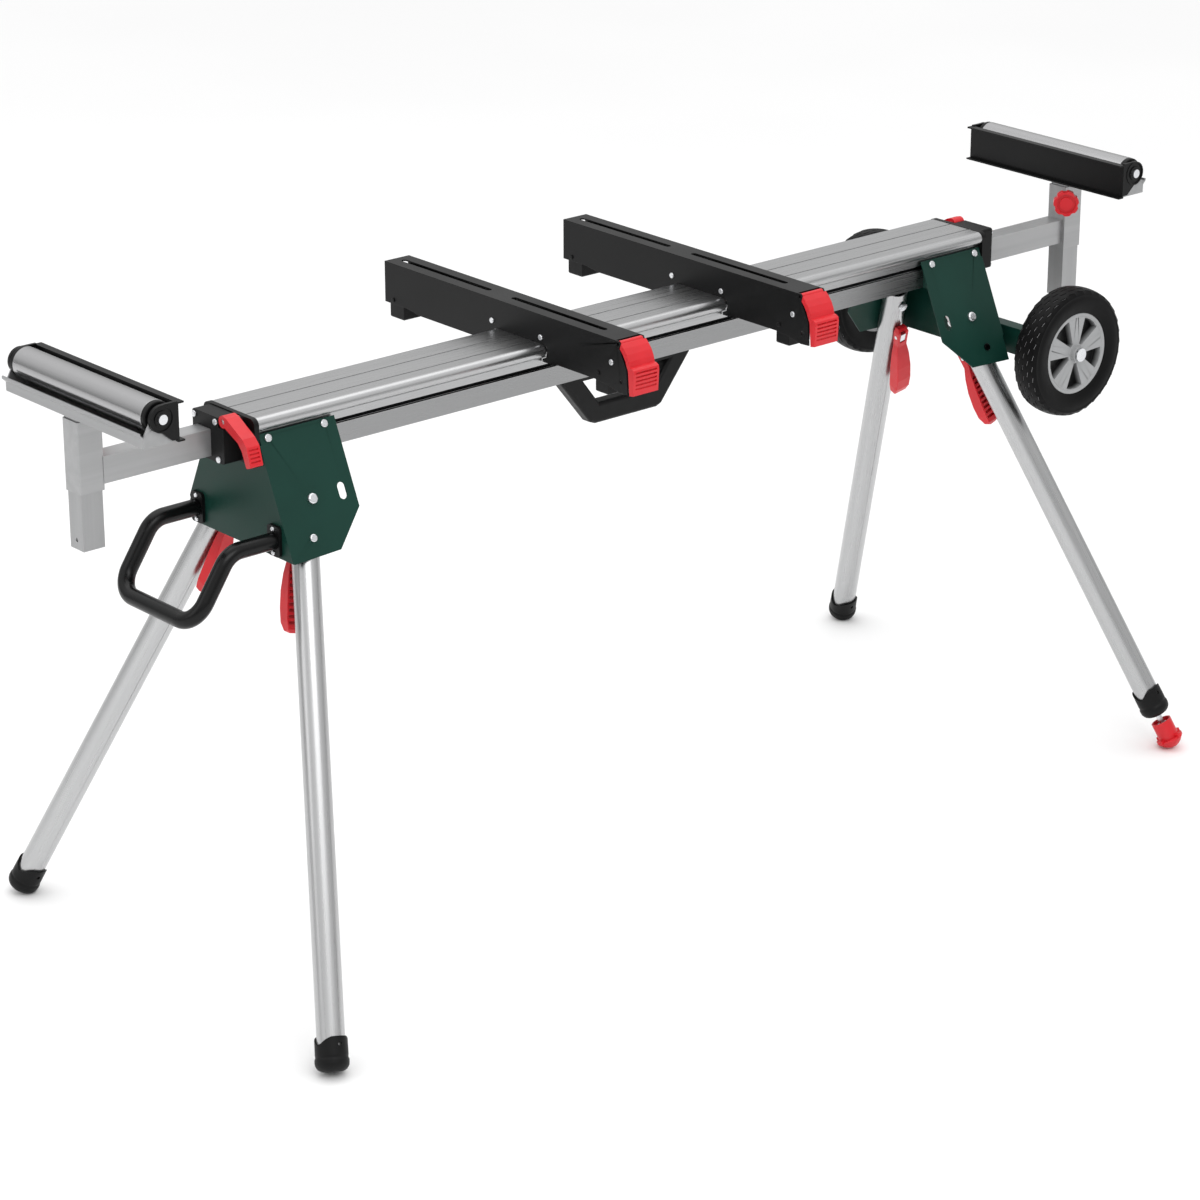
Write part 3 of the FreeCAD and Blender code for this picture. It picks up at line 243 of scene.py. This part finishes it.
def beam_metal():
    """Anodised extrusion, with painted shade: black in the slot along each side, a duller grey on the rail
    below the slot.
    """
    shader = Shader("anodised_beam", (0.44, 0.443, 0.447), 0.30, 1.0)
    lines = shader.noise(900, ALONG_X, detail=4)
    shader.tint(shader.noise(75, ALONG_X, detail=2), 0.03)
    shader.rough(lines, 0.05)
    shader.bump(lines, 0.00002, 0.35)
    _, y, z = shader.place()
    across = shader.math("ABSOLUTE", y)
    below = shader.math("LESS_THAN", z, RAIL_TOP)
    rail_shade_mask = shader.math("MULTIPLY", shader.math("GREATER_THAN", across, RAIL_Y), below)
    # Painted shade: the rail below the slot is given a darker, duller grey than the rest of the beam.
    shader.recolor(rail_shade_mask, 0, 1, (0.30, 0.302, 0.305))
    over = shader.math("GREATER_THAN", z, SLOT_LOW)
    in_height = shader.math("MULTIPLY", over, shader.math("LESS_THAN", z, SLOT_HIGH))
    slot_shade_mask = shader.math("MULTIPLY", in_height, shader.math("GREATER_THAN", across, SLOT_Y))
    # Painted shade: the recessed slot along each side is painted black.
    shader.recolor(slot_shade_mask, 0, 1, BLACK)
    return shader.material


def screw_metal():
    """Zinc, but blackened on the rivet low on the plate by the wheels."""
    shader = Shader("screw_zinc", (0.72, 0.73, 0.75), 0.28, 1.0)
    lines = shader.noise(400)
    shader.tint(lines, 0.045)
    shader.rough(lines, 0.05)
    x, _, z = shader.place()
    by_wheels = shader.math("GREATER_THAN", x, LOW_RIVET[0])
    low = shader.math("MULTIPLY", by_wheels, shader.math("LESS_THAN", z, LOW_RIVET[1]))
    shader.recolor(low, 0, 1, BLACK)
    return shader.material


def bracket_metal():
    """Zinc, but blackened on the pin that the bracket's lever turns on."""
    shader = Shader("bracket_zinc", (0.72, 0.73, 0.75), 0.28, 1.0)
    lines = shader.noise(400)
    shader.tint(lines, 0.045)
    shader.rough(lines, 0.05)
    shader.recolor(shader.place()[1], *LEVER_PIN_Y, BLACK)
    return shader.material


def knob_plastic(side):
    """The knob's red, and black on the boss that it turns in."""
    shader = Shader("knob_red", RED, 0.36, Specular_IOR_Level=0.4)
    cloud = shader.noise(22)
    shader.tint(cloud, 0.05)
    shader.rough(cloud, 0.05)
    x, y, _ = shader.place()
    out = shader.math("MULTIPLY", shader.math("ADD", x, y), -side * HALF_ROOT)
    wall = -HALF_ROOT * (KNOB_PLACE[0] - KNOB_PLACE[1])
    shader.recolor(out, wall + BOSS_END[0], wall + BOSS_END[1], BLACK)
    return shader.material


def leg_metal(name):
    """The tube's drawn lines run along the leg, from its bolt to its foot."""
    side = 1 if name.startswith("right") else -1
    rear = 1 if "rear" in name else -1
    foot = Vector((LEG_RUN[0] * side, LEG_RUN[1] * rear, LEG_RUN[2]))
    turn = Vector((0, 0, -1)).rotation_difference(foot).to_euler()
    return streaked_metal(name + "_metal", (0.50, 0.503, 0.507), 0.30, ALONG_Z, tuple(turn), fine=700)


FINISHES = {
    "_housing": green, "axle_bracket": green, "_clamp_block": casting, "main_beam": beam_metal(),
    "_arm": grey_arm, "_post": grey_post, "_roller_bracket": grey_tray, "_fence": black_coat,
    "_channel": black_coat, "pull_handle": black_tube, "pull_handle_clamps": black_plastic,
    "carry_handle": black_plastic, "_foot_blocks": black_plastic, "_roller_end_caps": black_plastic,
    "_roller": roller_metal, "_roller_axle": zinc, "frame_screws": screw_metal(), "leg_pivot_bolts": zinc,
    "_bracket_screws": bracket_metal(), "wheel_axle": zinc, "adjuster_stud": zinc, "_lever_pin": zinc,
    "_leg_foot": rubber, "adjuster_foot": red, "_lever": red, "left_height_knob": knob_plastic(-1),
    "right_height_knob": knob_plastic(1), "_tyre": tyre_rubber, "_rim": wheel_plastic(),
}
BEVELS = {
    "_housing": 0.0008, "_clamp_block": 0.0015, "main_beam": 0.0004, "_arm": 0.0012,
    "_roller_bracket": 0.0006, "_fence": 0.0008, "_channel": 0.0010, "_lever": 0.0014, "_rim": 0.0012,
    "_height_knob": 0.0012, "axle_bracket": 0.0012, "_foot_blocks": 0.0010, "adjuster_foot": 0.0010,
    "_roller_end_caps": 0.0005, "_roller": 0.0005, "pull_handle_clamps": 0.0008, "_leg_tube": 0.0004,
}


SAME_POINT = 0.00001
BEVEL_ANGLE = 38


def matching(table, name):
    """The entry whose key is the longest one that the node's name ends with."""
    keys = [key for key in table if name.endswith(key)]
    return table[max(keys, key=len)] if keys else None


def dress(name, node):
    """Gives a CAD node its material, and rounds its edges as the real part's are."""
    node.data.materials.clear()
    node.data.materials.append(leg_metal(name) if name.endswith("_leg_tube") else matching(FINISHES, name))
    width = matching(BEVELS, name)
    if width:
        weld = node.modifiers.new("Weld", "WELD")
        weld.merge_threshold = SAME_POINT
        bevel = node.modifiers.new("Edges", "BEVEL")
        bevel.width = width
        bevel.segments = 2
        bevel.limit_method = "ANGLE"
        bevel.angle_limit = math.radians(BEVEL_ANGLE)
        bevel.use_clamp_overlap = True
        normals = node.modifiers.new("Normals", "WEIGHTED_NORMAL")
        normals.keep_sharp = True


for name, node in nodes.items():
    dress(name, node)


# ---------------------------------------------------------------- tyres

WHEELS = {"front_wheel": -WHEEL_Y, "rear_wheel": WHEEL_Y}
AXLE = (0.760, 0.666 + LIFT)
SIDE_WALL = [(0.0190, 0.0664), (0.0212, 0.0680), (0.0222, 0.0720), (0.0240, 0.0790), (0.0247, 0.0860),
             (0.0243, 0.0915), (0.0234, 0.0955), (0.0238, 0.0972), (0.0224, 0.0995)]
GROOVE_ROWS = (-0.0180, -0.0090, 0.0, 0.0090, 0.0180)
GROOVE_HALF = 0.0006
GROOVE_RIM = 1.6
GROOVE_DEPTH = 0.0012
GROOVE_SLANT = 0.0034
BLOCKS = 34
BLOCK_STEPS = 9
GROOVE_STEPS = 5


def tread_radius(y):
    """How far the crown of the tread is from the axle, at this distance from the middle of the tyre."""
    return 0.1058 - 7.5 * y * y


def groove_across(row, step):
    """How far across a row's groove is at this step round the tyre, and how deep: 0 between grooves."""
    place = (step + (row % 2) * BLOCK_STEPS // 2) % BLOCK_STEPS
    slant = GROOVE_SLANT * (place / (BLOCK_STEPS - 1) - 0.5)
    inside = 0 < place <= GROOVE_STEPS
    return slant, GROOVE_DEPTH if inside else 0.0


def tyre_section(step):
    """The tyre's outline at one step round it, from one bead across the tread to the other."""
    side = [(-y, radius) for y, radius in SIDE_WALL]
    tread = []
    for row, middle in enumerate(GROOVE_ROWS):
        shift, depth = groove_across(row, step)
        for edge, share in ((-GROOVE_RIM, 0), (-1, 1), (1, 1), (GROOVE_RIM, 0)):
            y = middle + shift + GROOVE_HALF * edge
            tread.append((y, tread_radius(y) - depth * share))
    return side + tread + [(y, radius) for y, radius in reversed(SIDE_WALL)]


def make_tyre(body, middle):
    steps = BLOCKS * BLOCK_STEPS
    verts = []
    for step in range(steps):
        angle = 2 * math.pi * step / steps
        for y, radius in tyre_section(step):
            x = AXLE[0] + radius * math.cos(angle)
            z = AXLE[1] + radius * math.sin(angle)
            verts.append((x, middle + y, z))
    across = len(tyre_section(0))
    faces = []
    for step in range(steps):
        here = step * across
        after = (step + 1) % steps * across
        for column in range(across):
            along = (column + 1) % across
            faces.append((here + column, here + along, after + along, after + column))
    mesh = bpy.data.meshes.new(body + "_tread")
    mesh.from_pydata(verts, [], faces)
    mesh.validate()
    for face in mesh.polygons:
        face.use_smooth = True
    mesh.set_sharp_from_angle(angle=math.radians(32))
    mesh.materials.append(tyre_rubber)
    mesh.materials.append(groove_highlight)
    # Painted highlight: faces on the floors of the tread grooves get the light grey second material.
    for face in mesh.polygons:
        column, step = face.index % across, face.index // across
        row, part = divmod(column - len(SIDE_WALL), 4)
        in_row = 0 <= row < len(GROOVE_ROWS) and part == 1
        if in_row and groove_across(row, step)[1] and groove_across(row, (step + 1) % steps)[1]:
            face.material_index = 1
    tyre = bpy.data.objects.new(body + "_tread", mesh)
    bpy.context.collection.objects.link(tyre)
    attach(tyre, body)
    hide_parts(body + "_tyre")


for body, middle in WHEELS.items():
    make_tyre(body, middle)


# ---------------------------------------------------------------- stage, light and camera

FULL_LIGHT_SINE = 0.6
LENS = 115.35
EYE = (-3.692, -4.2146, 2.5419 + LIFT)
LOOK_DOWN = 21.26
LOOK_RIGHT = 40.88
LIGHTS = {
    "key": ((-1.5, -3.2, 3.6), (0, 0, 0.6), 3.0, 2.0, 45),
    "top": ((0.2, 0.6, 3.6), (0, 0, 0.5), 4.0, 2.5, 30),
    "side": ((-4.2, 1.0, 2.0), (0, 0, 0.6), 2.0, 2.0, 12),
}


def make_floor():
    mesh = bpy.data.meshes.new("floor")
    half = 14
    corners = [(-half, -half, 0), (half, -half, 0), (half, half, 0), (-half, half, 0)]
    mesh.from_pydata(corners, [], [(0, 1, 2, 3)])
    floor = bpy.data.objects.new("floor", mesh)
    bpy.context.collection.objects.link(floor)
    shader = Shader("floor_paint", (0.93, 0.93, 0.93), 0.8)
    cloud = shader.noise(0.8, detail=2)
    shader.tint(cloud, 0.01)
    shader.rough(cloud, 0.03)
    mesh.materials.append(shader.material)


def area_light(name, place, aim, width, height, power):
    light = bpy.data.lights.new(name, "AREA")
    light.shape = "RECTANGLE"
    light.size = width
    light.size_y = height
    light.energy = power
    lamp = bpy.data.objects.new(name, light)
    bpy.context.collection.objects.link(lamp)
    lamp.location = place
    lamp.rotation_euler = (Vector(aim) - Vector(place)).to_track_quat("-Z", "Y").to_euler()


def make_world(horizon, overhead):
    """White all round, brighter overhead than at the horizon."""
    world = bpy.data.worlds.new("studio")
    world.use_nodes = True
    tree = world.node_tree
    direction = tree.nodes.new("ShaderNodeTexCoord").outputs["Generated"]
    split = tree.nodes.new("ShaderNodeSeparateXYZ")
    tree.links.new(direction, split.inputs[0])
    level = tree.nodes.new("ShaderNodeMapRange")
    level.inputs["From Max"].default_value = FULL_LIGHT_SINE
    level.inputs["To Min"].default_value = horizon
    level.inputs["To Max"].default_value = overhead
    tree.links.new(split.outputs[2], level.inputs["Value"])
    background = tree.nodes["Background"]
    background.inputs["Color"].default_value = (1, 1, 1, 1)
    tree.links.new(level.outputs["Result"], background.inputs["Strength"])
    bpy.context.scene.world = world


def make_camera():
    """The main view: a long lens, from the left front and above."""
    data = bpy.data.cameras.new("camera")
    data.lens = LENS
    data.sensor_width = 36
    data.clip_end = 60
    camera = bpy.data.objects.new("camera", data)
    bpy.context.collection.objects.link(camera)
    camera.location = EYE
    pitch = math.radians(90 - LOOK_DOWN)
    yaw = math.radians(-LOOK_RIGHT)
    camera.rotation_euler = Euler((pitch, 0, yaw), "XYZ")
    bpy.context.scene.camera = camera


make_floor()
make_world(0.40, 1.10)
for name, placing in LIGHTS.items():
    area_light(name, *placing)
make_camera()
bpy.context.scene.view_settings.view_transform = "Standard"
bpy.context.scene.view_settings.look = "None"
